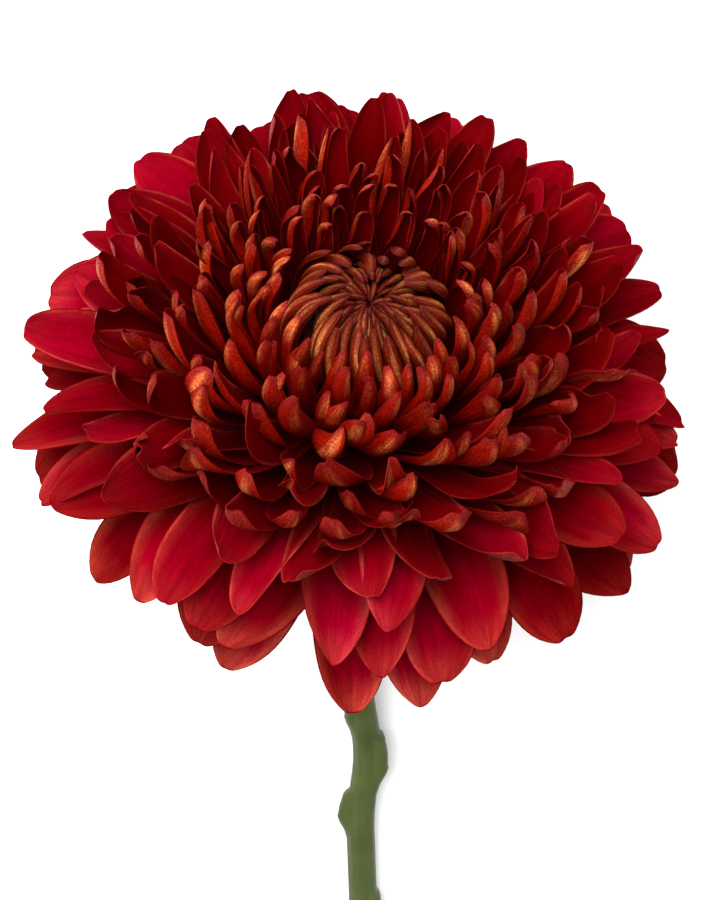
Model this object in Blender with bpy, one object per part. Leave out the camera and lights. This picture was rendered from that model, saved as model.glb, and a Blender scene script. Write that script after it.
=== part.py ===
# A cut chrysanthemum stem with one large bloom, lying on its side on a flat surface.
# Lengths are in millimetres until the meshes are made, and +Z is up from the surface.
# The bloom has its own axes: its face looks along local +Z, and its rim lies near local z = 0.

import collections
import math
import random

import bmesh
import bpy
from mathutils import Matrix, Vector

MM = 0.001
GOLDEN_ANGLE = math.radians(137.508)
CLEARANCE = 0.35

# How the bloom lies: its centre, how far its face is tipped back, and its small lean to one side.
BLOOM_CENTRE = Vector((-0.5, 47.8, 47.0))
BLOOM_PITCH = math.radians(-48)
BLOOM_LEAN = math.radians(8)
BLOOM_TURN = Matrix.Rotation(BLOOM_LEAN, 3, "Y") @ Matrix.Rotation(BLOOM_PITCH, 3, "X")

# Florets that would reach below the surface bend until they lie along it, each layer on the one before.
# Their lowest line is cut flat, and their edges and tips stay just above the surface.
TOUCHING_AGE = 0.08
STACK_RISE = 8.0
FLAT_DEPTH = 0.15
EDGE_HEIGHT = 0.06

# How far a floret may differ from its neighbours: lengths and widths as shares, angles in degrees.
STRETCH_RANGE = (-0.05, 0.04)
TILT_RANGE = 3
HOOK_RANGE = 0.35
TWIST_RANGE = 20
SIDE_RANGE = 4
WIDTH_RANGE = 0.08
AZIMUTH_RANGE = 3
HEART_TWIST = 0.4
HEART_SIDE = 0.5

# The share of the real florets' tilt, curl and twist that these keep, so that few of them cross.
VARIATION = 0.5

# The outline of every floret, as shares of its width and length, from its narrow claw to its blunt tip.
CLAW_WIDTH = 0.34
WIDEST_AT = 0.62
TIP_FROM = 0.66
TIP_POWER = 3.1
TIP_ROUNDNESS = 0.5
TIP_WIDTH = 0.06

# The hollow starts shallow, and changes from its middle to its tip value past a share of the length.
CUP_FROM = 0.45
CUP_OVER = 0.5
CUP_AT_CLAW = 0.55

# The margins of a ray floret wave up and down past this share of its length, least on the outer ones.
RUFFLE_FROM = 0.35
RUFFLE_OVER = 0.5
RUFFLE_HEIGHT = 0.9
RUFFLE_WAVES = 7
RUFFLE_SHIFT = 1.3
OUTER_RUFFLE = 0.35

# The outer ray florets are all here. The inner ones stand closer on the real bloom.
RAY_OUTER = 70
RAY_OUTER_AGE = 0.3125
RAY_INNER = 100
RAY_SEED = 11
RAY_THICKNESS = 1.15
RAY_STATIONS = (0.10, 0.42, 0.68, 0.86, 0.95)
FLAT_RAY_STATIONS = (0.06, 0.45, 0.75, 0.93)
FLAT_RAY_AGE = 0.35

HEART_COUNT = 42
HEART_SEED = 5
HEART_THICKNESS = 1.1
HEART_STATIONS = (0.14, 0.48, 0.68, 0.84, 0.94)
HEART_SWIRL = math.radians(-22)
HEART_AGE_POWER = 0.8

# Age 0 is the outermost floret and 1 the innermost. A floret's spine runs from its root to its
# shoulder, starting at slope leave and ending at slope arrive, then turns by hook_turn over hook_length.
# Slopes are in degrees above the rim plane. cup_mid and cup_tip are half the angle of its hollow.
Shape = collections.namedtuple(
    "Shape",
    "age root_r root_z shoulder_r shoulder_z leave arrive hook_turn hook_length width cup_mid cup_tip",
)
RAY_SHAPES = (
    Shape(0.000, 10.5, -17.0, 51.5, -13.0, 10, -30, -14, 6.5, 15.0, 4, 3),
    Shape(0.111, 11.0, -15.0, 53.5, -5.0, 20, -22, -8, 6.5, 15.0, 6, 6),
    Shape(0.222, 11.0, -13.0, 51.5, 4.0, 32, -8, 0, 6.5, 14.6, 10, 10),
    Shape(0.333, 11.0, -11.0, 48.5, 11.0, 42, 12, 18, 7.0, 13.6, 16, 22),
    Shape(0.444, 11.0, -9.0, 44.5, 15.5, 49, 32, 36, 7.5, 12.6, 24, 36),
    Shape(0.556, 11.0, -7.0, 39.5, 18.5, 54, 48, 38, 7.5, 11.2, 32, 48),
    Shape(0.667, 11.0, -5.0, 34.0, 21.5, 57, 60, 42, 7.5, 10.2, 42, 60),
    Shape(0.778, 11.0, -3.5, 28.8, 23.5, 56, 70, 48, 7.0, 9.2, 50, 68),
    Shape(0.889, 11.0, -2.5, 23.8, 24.0, 54, 80, 56, 6.5, 8.2, 56, 74),
    Shape(1.000, 11.0, -1.5, 19.8, 22.5, 52, 88, 64, 6.0, 7.2, 60, 78),
)
HEART_SHAPES = (
    Shape(0.00, 5.0, 0.0, 15.6, 16.5, 34, 90, 62, 11.0, 5.6, 60, 66),
    Shape(0.22, 4.8, 1.0, 14.6, 18.0, 38, 92, 78, 11.5, 5.4, 62, 68),
    Shape(0.40, 4.2, 2.0, 12.0, 18.6, 46, 94, 94, 11.0, 4.4, 62, 68),
    Shape(0.70, 3.0, 3.0, 8.8, 19.2, 58, 95, 108, 9.5, 3.4, 62, 68),
    Shape(1.00, 1.5, 4.0, 4.6, 19.6, 70, 96, 118, 5.5, 2.4, 60, 66),
)

# The surface between the heart and the ray florets, as radius at height. Both stay clear of it.
HEART_WALL = (
    (-3.0, 8.0), (0.0, 11.6), (4.0, 14.6), (8.0, 16.4), (12.0, 16.9), (20.0, 16.9), (24.0, 15.8),
    (28.0, 13.5), (34.0, 9.0),
)

# Turned cores that the florets stand out of, as radius and height.
RAY_CORE = (
    (0.0, -17.6), (12.5, -17.6), (17.5, -15.6), (20.0, -11.0), (21.5, -5.0), (22.5, 1.0),
    (21.5, 6.0), (18.8, 9.0), (15.4, 5.0), (12.2, 0.3), (8.4, -2.6), (0.0, -3.2),
)
HEART_CORE = (
    (0.0, -2.6), (6.6, -2.2), (10.0, 0.4), (13.0, 4.6), (14.2, 11.5), (13.6, 16.5),
    (10.4, 20.2), (5.4, 22.0), (0.0, 22.0),
)
RECEPTACLE = (
    (0.0, -30.0), (2.7, -30.0), (3.3, -26.5), (5.4, -23.4), (9.4, -20.6), (11.6, -18.6),
    (11.2, -17.95), (0.0, -17.95),
)
CORE_SIDES = 24
MERGE_DISTANCE = 0.001

BRACT_ROWS = (
    # number, root radius, root height, tip radius, tip height, first angle
    (13, 8.0, -21.0, 17.5, -18.6, 0.0),
    (12, 5.4, -23.2, 13.6, -20.6, 14.0),
)
BRACT_WIDTH = 4.0
BRACT_THICKNESS = 0.9

STEM_RADIUS = 3.0
STEM_SIDES = 10
STEM_SPACING = 9.0
STEM_TOP = -28.0
STEM_LEAVE = 28.0
STEM_ARRIVE = Vector((3.0, 58.0, 0.0))
STEM_END = Vector((0.0, -84.2, STEM_RADIUS * math.cos(math.pi / STEM_SIDES)))
STEM_TAIL = 12.0
STEM_CURVE_STEPS = 200

# The stem turns a little from side to side at its nodes, as distance from the bloom and sideways shift.
ZIGZAG = ((50.0, 0.0), (62.0, 0.3), (74.0, 1.6), (88.0, -0.7), (100.0, -0.2), (112.0, 0.5), (122.0, 0.0))

# Where a leaf stalk was cut off, the stem keeps a ledge with a flat face and a buttress under it.
LEAF_SCARS = (
    # distance from the bloom, side in degrees, length of the face, length of the buttress, rise
    (62.5, 270, 3.0, 5.0, 0.9),
    (70.5, 90, 7.0, 4.5, 1.7),
    (83.5, 270, 5.0, 4.0, 1.7),
    (106.5, 90, 6.0, 7.0, 1.6),
)
SCAR_EDGE = 1.3
SCAR_REACH = 0.31


def smooth(share):
    share = min(1.0, max(0.0, share))
    return share * share * (3 - 2 * share)


def between(pairs, at):
    """The value at a place on a line of (place, value) pairs."""
    if at <= pairs[0][0]:
        return pairs[0][1]
    for (low, first), (high, second) in zip(pairs, pairs[1:]):
        if at <= high:
            return first + (second - first) * (at - low) / (high - low)
    return pairs[-1][1]


def shape_at(shapes, age):
    fields = zip(*shapes)
    ages = next(fields)
    return Shape(age, *(between(list(zip(ages, field)), age) for field in fields))


def to_world(point):
    return BLOOM_CENTRE + BLOOM_TURN @ point


class Floret:
    """One floret: its spine, its hollow section and its own small differences."""

    STEPS = 40
    HOOK_STEPS = 12
    HANDLE = 0.38

    def __init__(self, shape, azimuth, rng, heart):
        self.shape = shape
        self.azimuth = azimuth
        self.heart = heart
        self.stretch = 1 + rng.uniform(*STRETCH_RANGE)
        self.tilt = rng.uniform(-TILT_RANGE, TILT_RANGE) * VARIATION
        self.hook = 1 + rng.uniform(-HOOK_RANGE, HOOK_RANGE) * VARIATION
        self.twist = math.radians(rng.uniform(-TWIST_RANGE, TWIST_RANGE)) * VARIATION
        self.twist *= HEART_TWIST if heart else 1
        self.side = math.radians(rng.uniform(-SIDE_RANGE, SIDE_RANGE)) * (HEART_SIDE if heart else 1)
        self.wave = rng.uniform(0.2, 1.0)
        self.phase = rng.uniform(0, 2 * math.pi)
        self.width = shape.width * (1 + rng.uniform(-WIDTH_RANGE, WIDTH_RANGE))
        self.swirl = HEART_SWIRL if heart else 0.0
        self.press = 0.0
        self.draw_spine()

    def draw_spine(self):
        shape = self.shape
        leave = math.radians(shape.leave + self.tilt)
        arrive = math.radians(shape.arrive + self.tilt)
        root = Vector((shape.root_r, shape.root_z))
        chord = (Vector((shape.shoulder_r, shape.shoulder_z)) - root) * self.stretch
        chord = Matrix.Rotation(math.radians(self.tilt), 2) @ chord
        shoulder = root + chord
        if self.press:
            per_radius = (BLOOM_TURN @ Vector((math.cos(self.azimuth), math.sin(self.azimuth), 0))).z
            per_height = (BLOOM_TURN @ Vector((0, 0, 1))).z
            height = BLOOM_CENTRE.z + per_radius * shoulder.x + per_height * shoulder.y
            shoulder.y += self.press * (self.level() - height) / per_height
            arrive += self.press * (math.atan2(-per_radius, per_height) - arrive)
            chord = shoulder - root
        handle = self.HANDLE * chord.length
        first = root + handle * Vector((math.cos(leave), math.sin(leave)))
        second = shoulder - handle * Vector((math.cos(arrive), math.sin(arrive)))
        points = []
        for step in range(self.STEPS + 1):
            t = step / self.STEPS
            s = 1 - t
            points.append(s**3 * root + 3 * s * s * t * first + 3 * s * t * t * second + t**3 * shoulder)
        turn = math.radians(shape.hook_turn) * self.hook * (1 - self.press)
        for step in range(self.HOOK_STEPS):
            slope = arrive + turn * (step + 0.5) / self.HOOK_STEPS
            reach = shape.hook_length / self.HOOK_STEPS
            points.append(points[-1] + reach * Vector((math.cos(slope), math.sin(slope))))
        self.points = points
        self.lengths = [0.0]
        for before, after in zip(points, points[1:]):
            self.lengths.append(self.lengths[-1] + (after - before).length)

    def on_spine(self, along):
        """The (radius, height) at a share of the length, and the direction there."""
        want = along * self.lengths[-1]
        last = len(self.points) - 1
        index = next((i for i in range(1, last) if self.lengths[i] >= want), last)
        share = (want - self.lengths[index - 1]) / (self.lengths[index] - self.lengths[index - 1])
        place = self.points[index - 1].lerp(self.points[index], share)
        direction = self.points[min(last, index + 1)] - self.points[max(0, index - 2)]
        return place, direction.normalized()

    def half_width(self, along):
        grown = CLAW_WIDTH + (1 - CLAW_WIDTH) * smooth(along / WIDEST_AT)
        tip = max(0.0, (along - TIP_FROM) / (1 - TIP_FROM))
        return self.width / 2 * grown * max(TIP_WIDTH, 1 - tip**TIP_POWER) ** TIP_ROUNDNESS

    def cup(self, along):
        shape = self.shape
        degrees = shape.cup_mid + (shape.cup_tip - shape.cup_mid) * smooth((along - CUP_FROM) / CUP_OVER)
        return math.radians(degrees) * (CUP_AT_CLAW + (1 - CUP_AT_CLAW) * smooth(along / CUP_OVER))

    def surface(self, along, across):
        """A point of the middle surface and its upward normal, in the bloom's own axes."""
        place, direction = self.on_spine(along)
        azimuth = self.azimuth + self.side * along**2 + self.swirl * smooth((along - 0.4) / 0.6)
        outward = Vector((math.cos(azimuth), math.sin(azimuth), 0))
        round_ward = Vector((-math.sin(azimuth), math.cos(azimuth), 0))
        up = Vector((0, 0, 1))
        normal = up * direction.x - outward * direction.y
        twist = self.twist * smooth((along - 0.2) / 0.8)
        aside = round_ward * math.cos(twist) + normal * math.sin(twist)
        normal = normal * math.cos(twist) - round_ward * math.sin(twist)
        cup = self.cup(along)
        radius = self.half_width(along) / cup
        point = outward * place.x + up * place.y
        point += aside * radius * math.sin(across * cup)
        point += normal * radius * (1 - math.cos(across * cup))
        if not self.heart:
            ruffle = self.wave * RUFFLE_HEIGHT * smooth((along - RUFFLE_FROM) / RUFFLE_OVER) * across**2
            ruffle *= OUTER_RUFFLE + (1 - OUTER_RUFFLE) * smooth((self.shape.age - 0.1) / 0.35)
            side_shift = RUFFLE_SHIFT if across > 0 else 0
            point += normal * ruffle * math.sin(RUFFLE_WAVES * along + self.phase + side_shift)
        return point, normal

    def level(self):
        """The height at which its middle lies on the surface, or on the layers under it."""
        return STACK_RISE * max(0.0, self.shape.age - TOUCHING_AGE) + RAY_THICKNESS / 2 - FLAT_DEPTH

    def too_low(self):
        shares = (0.4 + 0.06 * step for step in range(11))
        return min(to_world(self.surface(along, 0)[0]).z for along in shares) < self.level()

    def lie_on_surface(self):
        """Lays the outermost florets along the surface, and bends the others only clear of it."""
        if not self.too_low():
            return
        low, high = 0.0, 1.0
        for _ in range(0 if self.shape.age < TOUCHING_AGE else 7):
            self.press = (low + high) / 2
            self.draw_spine()
            if self.too_low():
                low = self.press
            else:
                high = self.press
        self.press = high
        self.draw_spine()


def keep_clear(point, heart):
    """Moves a point of the bloom to its own side of the wall between the heart and the rays."""
    radius = math.hypot(point.x, point.y)
    wall = between(HEART_WALL, point.z)
    if heart:
        allowed = min(radius, wall - CLEARANCE)
    else:
        allowed = max(radius, wall + 2 * CLEARANCE)
    return Vector((point.x * allowed / radius, point.y * allowed / radius, point.z))


def raised(point, height):
    return Vector((point.x, point.y, max(point.z, height)))


def lay_flat(section, thickness):
    """Keeps a section of a blade from going deeper into the surface than its flat spot."""
    left, top, right, bottom = section
    bottom = raised(bottom, -FLAT_DEPTH)
    top = raised(top, min(bottom.z, 0.0) + thickness)
    return raised(left, EDGE_HEIGHT), top, raised(right, EDGE_HEIGHT), bottom


def blade(floret, stations, thickness):
    """The rings and tip of a blade with an arched lens section, in world axes."""
    rings = []
    for along in stations:
        left, _ = floret.surface(along, -1)
        right, _ = floret.surface(along, 1)
        middle, normal = floret.surface(along, 0)
        section = (left, middle + normal * thickness / 2, right, middle - normal * thickness / 2)
        section = [to_world(keep_clear(point, floret.heart)) for point in section]
        touches = min(point.z for point in section) < 0
        rings.append(lay_flat(section, thickness) if touches else section)
    tip = to_world(keep_clear(floret.surface(1.0, 0)[0], floret.heart))
    return rings, raised(tip, EDGE_HEIGHT)


def add_blade(bm, rings, tip):
    """Skins the rings of four, with the same diagonals on both faces."""
    made = [[bm.verts.new(point * MM) for point in ring] for ring in rings]
    end = bm.verts.new(tip * MM)
    for near, far in zip(made, made[1:]):
        for edge, mid in ((0, 1), (2, 1), (0, 3), (2, 3)):
            bm.faces.new((near[edge], near[mid], far[mid]))
            bm.faces.new((near[edge], far[mid], far[edge]))
    for corner in range(4):
        bm.faces.new((made[-1][corner], made[-1][(corner + 1) % 4], end))
    bm.faces.new((made[0][0], made[0][1], made[0][3]))
    bm.faces.new((made[0][1], made[0][2], made[0][3]))


def mesh_object(name, bm, collection):
    bmesh.ops.recalc_face_normals(bm, faces=bm.faces[:])
    mesh = bpy.data.meshes.new(name)
    bm.to_mesh(mesh)
    bm.free()
    made = bpy.data.objects.new(name, mesh)
    collection.objects.link(made)
    return made


def turned(name, profile, collection):
    """A closed body turned about the bloom's axis from a profile that starts and ends on it."""
    bm = bmesh.new()
    corners = [bm.verts.new((radius, 0, height)) for radius, height in profile]
    edges = [bm.edges.new(pair) for pair in zip(corners, corners[1:])]
    axis = {"cent": (0, 0, 0), "axis": (0, 0, 1)}
    bmesh.ops.spin(
        bm, geom=corners + edges, steps=CORE_SIDES, angle=2 * math.pi, use_merge=True, **axis
    )
    bmesh.ops.remove_doubles(bm, verts=bm.verts[:], dist=MERGE_DISTANCE)
    for vert in bm.verts:
        vert.co = to_world(vert.co) * MM
    return mesh_object(name, bm, collection)


def fuse(base, helpers):
    """Joins all that a collection holds to the base object as one body, and removes it."""
    union = base.modifiers.new("union", "BOOLEAN")
    union.operation = "UNION"
    union.solver = "MANIFOLD"
    union.operand_type = "COLLECTION"
    union.collection = helpers
    apply_modifiers(base)
    for helper in list(helpers.objects):
        bpy.data.objects.remove(helper)
    bpy.data.collections.remove(helpers)


def apply_modifiers(made):
    graph = bpy.context.evaluated_depsgraph_get()
    mesh = bpy.data.meshes.new_from_object(made.evaluated_get(graph))
    made.modifiers.clear()
    made.data = mesh


def helper_collection(name):
    made = bpy.data.collections.new(name)
    bpy.context.scene.collection.children.link(made)
    return made


def cut_flat(made):
    """Cuts off what presses below the surface, which leaves small flat spots to rest on."""
    bm = bmesh.new()
    bmesh.ops.create_cube(bm, size=1.0, matrix=Matrix.Translation((0, 0, -0.5)))
    cutter = mesh_object("surface_cutter", bm, bpy.context.scene.collection)
    cut = made.modifiers.new("flat_spots", "BOOLEAN")
    cut.operation = "DIFFERENCE"
    cut.solver = "MANIFOLD"
    cut.object = cutter
    apply_modifiers(made)
    bpy.data.objects.remove(cutter)


def plain_material(name, colour, roughness):
    made = bpy.data.materials.new(name)
    made.use_nodes = True
    shader = made.node_tree.nodes["Principled BSDF"]
    shader.inputs["Base Color"].default_value = (*colour, 1)
    shader.inputs["Roughness"].default_value = roughness
    made.diffuse_color = (*colour, 1)
    return made


def build_ray_florets():
    rng = random.Random(RAY_SEED)
    blades = helper_collection("ray_blades")
    core = turned("ray_florets", RAY_CORE, bpy.context.scene.collection)
    for index in range(RAY_OUTER + RAY_INNER):
        if index < RAY_OUTER:
            age = RAY_OUTER_AGE * index / RAY_OUTER
        else:
            age = RAY_OUTER_AGE + (1 - RAY_OUTER_AGE) * (index - RAY_OUTER) / (RAY_INNER - 1)
        azimuth = index * GOLDEN_ANGLE + math.radians(rng.uniform(-AZIMUTH_RANGE, AZIMUTH_RANGE))
        floret = Floret(shape_at(RAY_SHAPES, age), azimuth, rng, heart=False)
        floret.lie_on_surface()
        stations = FLAT_RAY_STATIONS if age < FLAT_RAY_AGE else RAY_STATIONS
        bm = bmesh.new()
        add_blade(bm, *blade(floret, stations, RAY_THICKNESS))
        mesh_object("ray_blade", bm, blades)
    fuse(core, blades)
    cut_flat(core)
    core.data.materials.append(plain_material("crimson_ray_floret", (0.33, 0.004, 0.012), 0.5))


def build_heart_florets():
    rng = random.Random(HEART_SEED)
    blades = helper_collection("heart_blades")
    core = turned("heart_florets", HEART_CORE, bpy.context.scene.collection)
    for index in range(HEART_COUNT):
        age = (index / (HEART_COUNT - 1)) ** HEART_AGE_POWER
        azimuth = index * GOLDEN_ANGLE + math.radians(rng.uniform(-AZIMUTH_RANGE, AZIMUTH_RANGE))
        floret = Floret(shape_at(HEART_SHAPES, age), azimuth, rng, heart=True)
        bm = bmesh.new()
        add_blade(bm, *blade(floret, HEART_STATIONS, HEART_THICKNESS))
        mesh_object("heart_blade", bm, blades)
    fuse(core, blades)
    core.data.materials.append(plain_material("bronze_heart_floret", (0.30, 0.07, 0.025), 0.5))


def bract(root_radius, root_height, tip_radius, tip_height, angle):
    """The rings and tip of one narrow green bract under the bloom."""
    outward = Vector((math.cos(angle), math.sin(angle), 0))
    aside = Vector((-math.sin(angle), math.cos(angle), 0))
    rings = []
    for share, width_share in ((-0.25, 0.8), (0.35, 1.0), (0.75, 0.7)):
        radius = root_radius + (tip_radius - root_radius) * share
        height = root_height + (tip_height - root_height) * share
        middle = outward * radius + Vector((0, 0, height))
        half = aside * BRACT_WIDTH / 2 * width_share
        above = Vector((0, 0, BRACT_THICKNESS / 2))
        section = (middle - half, middle + above, middle + half, middle - above)
        rings.append([to_world(point) for point in section])
    return rings, to_world(outward * tip_radius + Vector((0, 0, tip_height)))


def stem_curve():
    """Points close together along the middle of the stem, each with its distance from the bloom."""
    start = to_world(Vector((0, 0, STEM_TOP)))
    first = start + BLOOM_TURN @ Vector((0, 0, -STEM_LEAVE))
    second = STEM_END + STEM_ARRIVE
    route = [(0.0, start)]
    before = start
    for step in range(1, STEM_CURVE_STEPS + 1):
        t = step / STEM_CURVE_STEPS
        s = 1 - t
        point = s**3 * start + 3 * s * s * t * first + 3 * s * t * t * second + t**3 * STEM_END
        route.append((route[-1][0] + (point - before).length, point))
        before = point
    route.append((route[-1][0] + STEM_TAIL, STEM_END - STEM_ARRIVE.normalized() * STEM_TAIL))
    return route


def stem_stations(length):
    """Distances for the rings, with more of them where the leaf scars are."""
    stations = {0.0, length - STEM_TAIL, length}
    for start, _, face, buttress, _ in LEAF_SCARS:
        stations |= {start - SCAR_EDGE, start, start + face, start + face + buttress}
    for step in range(1, int(length / STEM_SPACING)):
        distance = step * STEM_SPACING
        if min(abs(distance - other) for other in stations) > STEM_SPACING / 3:
            stations.add(distance)
    return sorted(stations)


def scar_rise(distance, angle):
    """How far the leaf scars stand out of the stem at a place on it."""
    rise = 0.0
    for start, side, face, buttress, height in LEAF_SCARS:
        steps = ((start - SCAR_EDGE, 0.0), (start, 1.0), (start + face, 1.0), (start + face + buttress, 0.0))
        facing = math.cos(angle - math.radians(side))
        rise += height * between(steps, distance) * max(0.0, (facing - SCAR_REACH) / (1 - SCAR_REACH))
    return rise


def stem_tube():
    route = stem_curve()
    bm = bmesh.new()
    rings = []
    for distance in stem_stations(route[-1][0]):
        point = between(route, distance)
        ahead = between(route, distance + 1.0) - between(route, distance - 1.0)
        upward = Vector((1, 0, 0)).cross(ahead).normalized()
        across = ahead.normalized().cross(upward)
        point = point + across * between(ZIGZAG, distance)
        ring = []
        for side in range(STEM_SIDES):
            angle = 2 * math.pi * (side + 0.5) / STEM_SIDES
            offset = across * math.sin(angle) + upward * math.cos(angle)
            ring.append(bm.verts.new((point + offset * (STEM_RADIUS + scar_rise(distance, angle))) * MM))
        rings.append(ring)
    for near, far in zip(rings, rings[1:]):
        for side in range(STEM_SIDES):
            after = (side + 1) % STEM_SIDES
            bm.faces.new((near[side], near[after], far[after], far[side]))
    bm.faces.new(rings[0])
    bm.faces.new(rings[-1])
    return mesh_object("stem", bm, bpy.context.scene.collection)


def build_stem():
    parts = helper_collection("stem_parts")
    turned("receptacle", RECEPTACLE, parts)
    for number, root_radius, root_height, tip_radius, tip_height, first_angle in BRACT_ROWS:
        for index in range(number):
            angle = math.radians(first_angle) + 2 * math.pi * index / number
            bm = bmesh.new()
            add_blade(bm, *bract(root_radius, root_height, tip_radius, tip_height, angle))
            mesh_object("bract", bm, parts)
    stem = stem_tube()
    fuse(stem, parts)
    stem.data.materials.append(plain_material("green_stem", (0.10, 0.14, 0.05), 0.6))


def main():
    for old in list(bpy.data.objects):
        bpy.data.objects.remove(old)
    build_ray_florets()
    build_heart_florets()
    build_stem()


main()
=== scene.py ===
import math
import random
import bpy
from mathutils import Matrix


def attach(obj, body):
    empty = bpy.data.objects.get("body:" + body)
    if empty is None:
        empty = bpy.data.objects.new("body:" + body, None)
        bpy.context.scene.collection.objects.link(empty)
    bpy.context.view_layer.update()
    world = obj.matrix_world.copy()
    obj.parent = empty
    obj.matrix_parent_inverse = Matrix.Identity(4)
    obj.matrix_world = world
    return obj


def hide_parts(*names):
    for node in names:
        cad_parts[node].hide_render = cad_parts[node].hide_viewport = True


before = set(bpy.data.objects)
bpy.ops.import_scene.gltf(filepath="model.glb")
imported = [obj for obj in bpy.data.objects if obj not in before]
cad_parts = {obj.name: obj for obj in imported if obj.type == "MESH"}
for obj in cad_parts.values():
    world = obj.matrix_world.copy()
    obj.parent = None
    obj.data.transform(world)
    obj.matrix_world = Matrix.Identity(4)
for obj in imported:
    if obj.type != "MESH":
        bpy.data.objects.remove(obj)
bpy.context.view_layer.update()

from types import SimpleNamespace

import bmesh
import bpy
from mathutils import Matrix, Vector

mm = 0.001
goldenAngle = math.radians(137.508)

# the bloom has its own axes: its face looks along local Z and its rim lies near local z = 0
bloom = {
    "centre": Vector((-0.5, 47.8, 47.0)),
    "pitch": -48,
    "lean": 8,
}
bloomTurn = (
    Matrix.Rotation(math.radians(bloom["lean"]), 3, "Y") @ Matrix.Rotation(math.radians(bloom["pitch"]), 3, "X")
)


def smooth(share):
    share = min(1.0, max(0.0, share))
    return share * share * (3 - 2 * share)


def spell(value, start, end):
    # rises over the first stretch and falls over the second, each given as where it starts and its length
    return smooth((value - start[0]) / start[1]) * (1 - smooth((value - end[0]) / end[1]))


def between(pairs, at):
    if at <= pairs[0][0]:
        return pairs[0][1]
    for (low, first), (high, second) in zip(pairs, pairs[1:]):
        if at <= high:
            return first + (second - first) * (at - low) / (high - low)
    return pairs[-1][1]


def inPlace(point):
    return bloom["centre"] + bloomTurn @ point


def directions(angle):
    # straight out from the bloom's axis, and round it
    return Vector((math.cos(angle), math.sin(angle), 0)), Vector((-math.sin(angle), math.cos(angle), 0))


def bezierPoint(start, first, second, end, t):
    s = 1 - t
    return s**3 * start + 3 * s * s * t * first + 3 * s * t * t * second + t**3 * end


def newObject(name, data):
    made = bpy.data.objects.new(name, data)
    bpy.context.scene.collection.objects.link(made)
    return made


def newMeshObject(name, bm, materials):
    mesh = bpy.data.meshes.new(name)
    bm.to_mesh(mesh)
    bm.free()
    for each in materials:
        mesh.materials.append(each)
    return newObject(name, mesh)


def newPiece(name, bm, materials, node):
    piece = newMeshObject(name, bm, materials)
    piece.data.shade_smooth()
    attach(piece, "root")
    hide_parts(node)
    return piece


def thicken(piece, wall):
    solid = piece.modifiers.new("wallThickness", "SOLIDIFY")
    solid.thickness = wall * mm
    solid.offset = 0
    rounding = piece.modifiers.new("softRounding", "SUBSURF")
    rounding.levels = rounding.render_levels = 1
    return solid


# shared material helpers

def newMaterial(name):
    material = bpy.data.materials.new(name)
    material.use_nodes = True
    return material, material.node_tree, material.node_tree.nodes["Principled BSDF"]


def setInputs(node, values):
    for name, value in values.items():
        node.inputs[name].default_value = value


def addNode(tree, kind, **values):
    node = tree.nodes.new(kind)
    for name, value in values.items():
        if hasattr(node, name):
            setattr(node, name, value)
        else:
            node.inputs[name.replace("_", " ")].default_value = value
    return node


def mathNode(tree, operation, first, second=None, clamp=False):
    node = tree.nodes.new("ShaderNodeMath")
    node.operation = operation
    node.use_clamp = clamp
    for socket, value in zip(node.inputs, (first, second)):
        if isinstance(value, bpy.types.NodeSocket):
            tree.links.new(value, socket)
        elif value is not None:
            socket.default_value = value
    return node.outputs[0]


def product(tree, *values):
    result = values[0]
    for each in values[1:]:
        result = mathNode(tree, "MULTIPLY", result, each)
    return result


def rangeNode(tree, value, low, high, toLow=0.0, toHigh=1.0):
    node = addNode(
        tree, "ShaderNodeMapRange", interpolation_type="SMOOTHSTEP",
        From_Min=low, From_Max=high, To_Min=toLow, To_Max=toHigh,
    )
    tree.links.new(value, node.inputs["Value"])
    return node.outputs["Result"]


def rampNode(tree, value, stops):
    node = tree.nodes.new("ShaderNodeValToRGB")
    elements = node.color_ramp.elements
    while len(elements) < len(stops):
        elements.new(0.5)
    for element, (position, colour) in zip(elements, stops):
        element.position = position
        element.color = (*colour, 1)
    tree.links.new(value, node.inputs["Fac"])
    return node.outputs["Color"]


def mixNode(tree, factor, first, second, blend="MIX"):
    node = tree.nodes.new("ShaderNodeMix")
    node.data_type = "RGBA"
    node.blend_type = blend
    for socket, value in (("Factor", factor), ("A", first), ("B", second)):
        target = [each for each in node.inputs if each.name == socket and each.enabled][0]
        if isinstance(value, bpy.types.NodeSocket):
            tree.links.new(value, target)
        elif isinstance(value, float):
            target.default_value = value
        else:
            target.default_value = (*value, 1)
    return [each for each in node.outputs if each.enabled][0]


def attributeNode(tree, name):
    # a vector attribute and its three parts
    vector = addNode(tree, "ShaderNodeAttribute", attribute_name=name).outputs["Vector"]
    parts = addNode(tree, "ShaderNodeSeparateXYZ")
    tree.links.new(vector, parts.inputs[0])
    return vector, parts.outputs


def addBump(tree, shader, height, strength, distance):
    bump = addNode(tree, "ShaderNodeBump", Strength=strength, Distance=distance)
    tree.links.new(height, bump.inputs["Height"])
    tree.links.new(bump.outputs[0], shader.inputs["Normal"])


def newGroup(name, inputs, outputs):
    group = bpy.data.node_groups.new(name, "ShaderNodeTree")
    for way, sockets in (("INPUT", inputs), ("OUTPUT", outputs)):
        for socket, kind in sockets.items():
            group.interface.new_socket(socket, in_out=way, socket_type="NodeSocket" + kind)
    return group, group.nodes.new("NodeGroupInput").outputs, group.nodes.new("NodeGroupOutput").inputs


# across, along and tint: the tint's large scale makes the noise of every petal its own
grainScales = {"streak": (1.6, 37.0), "mottle": (3.0, 7.0, 91.0), "speckle": 2600.0}


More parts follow.
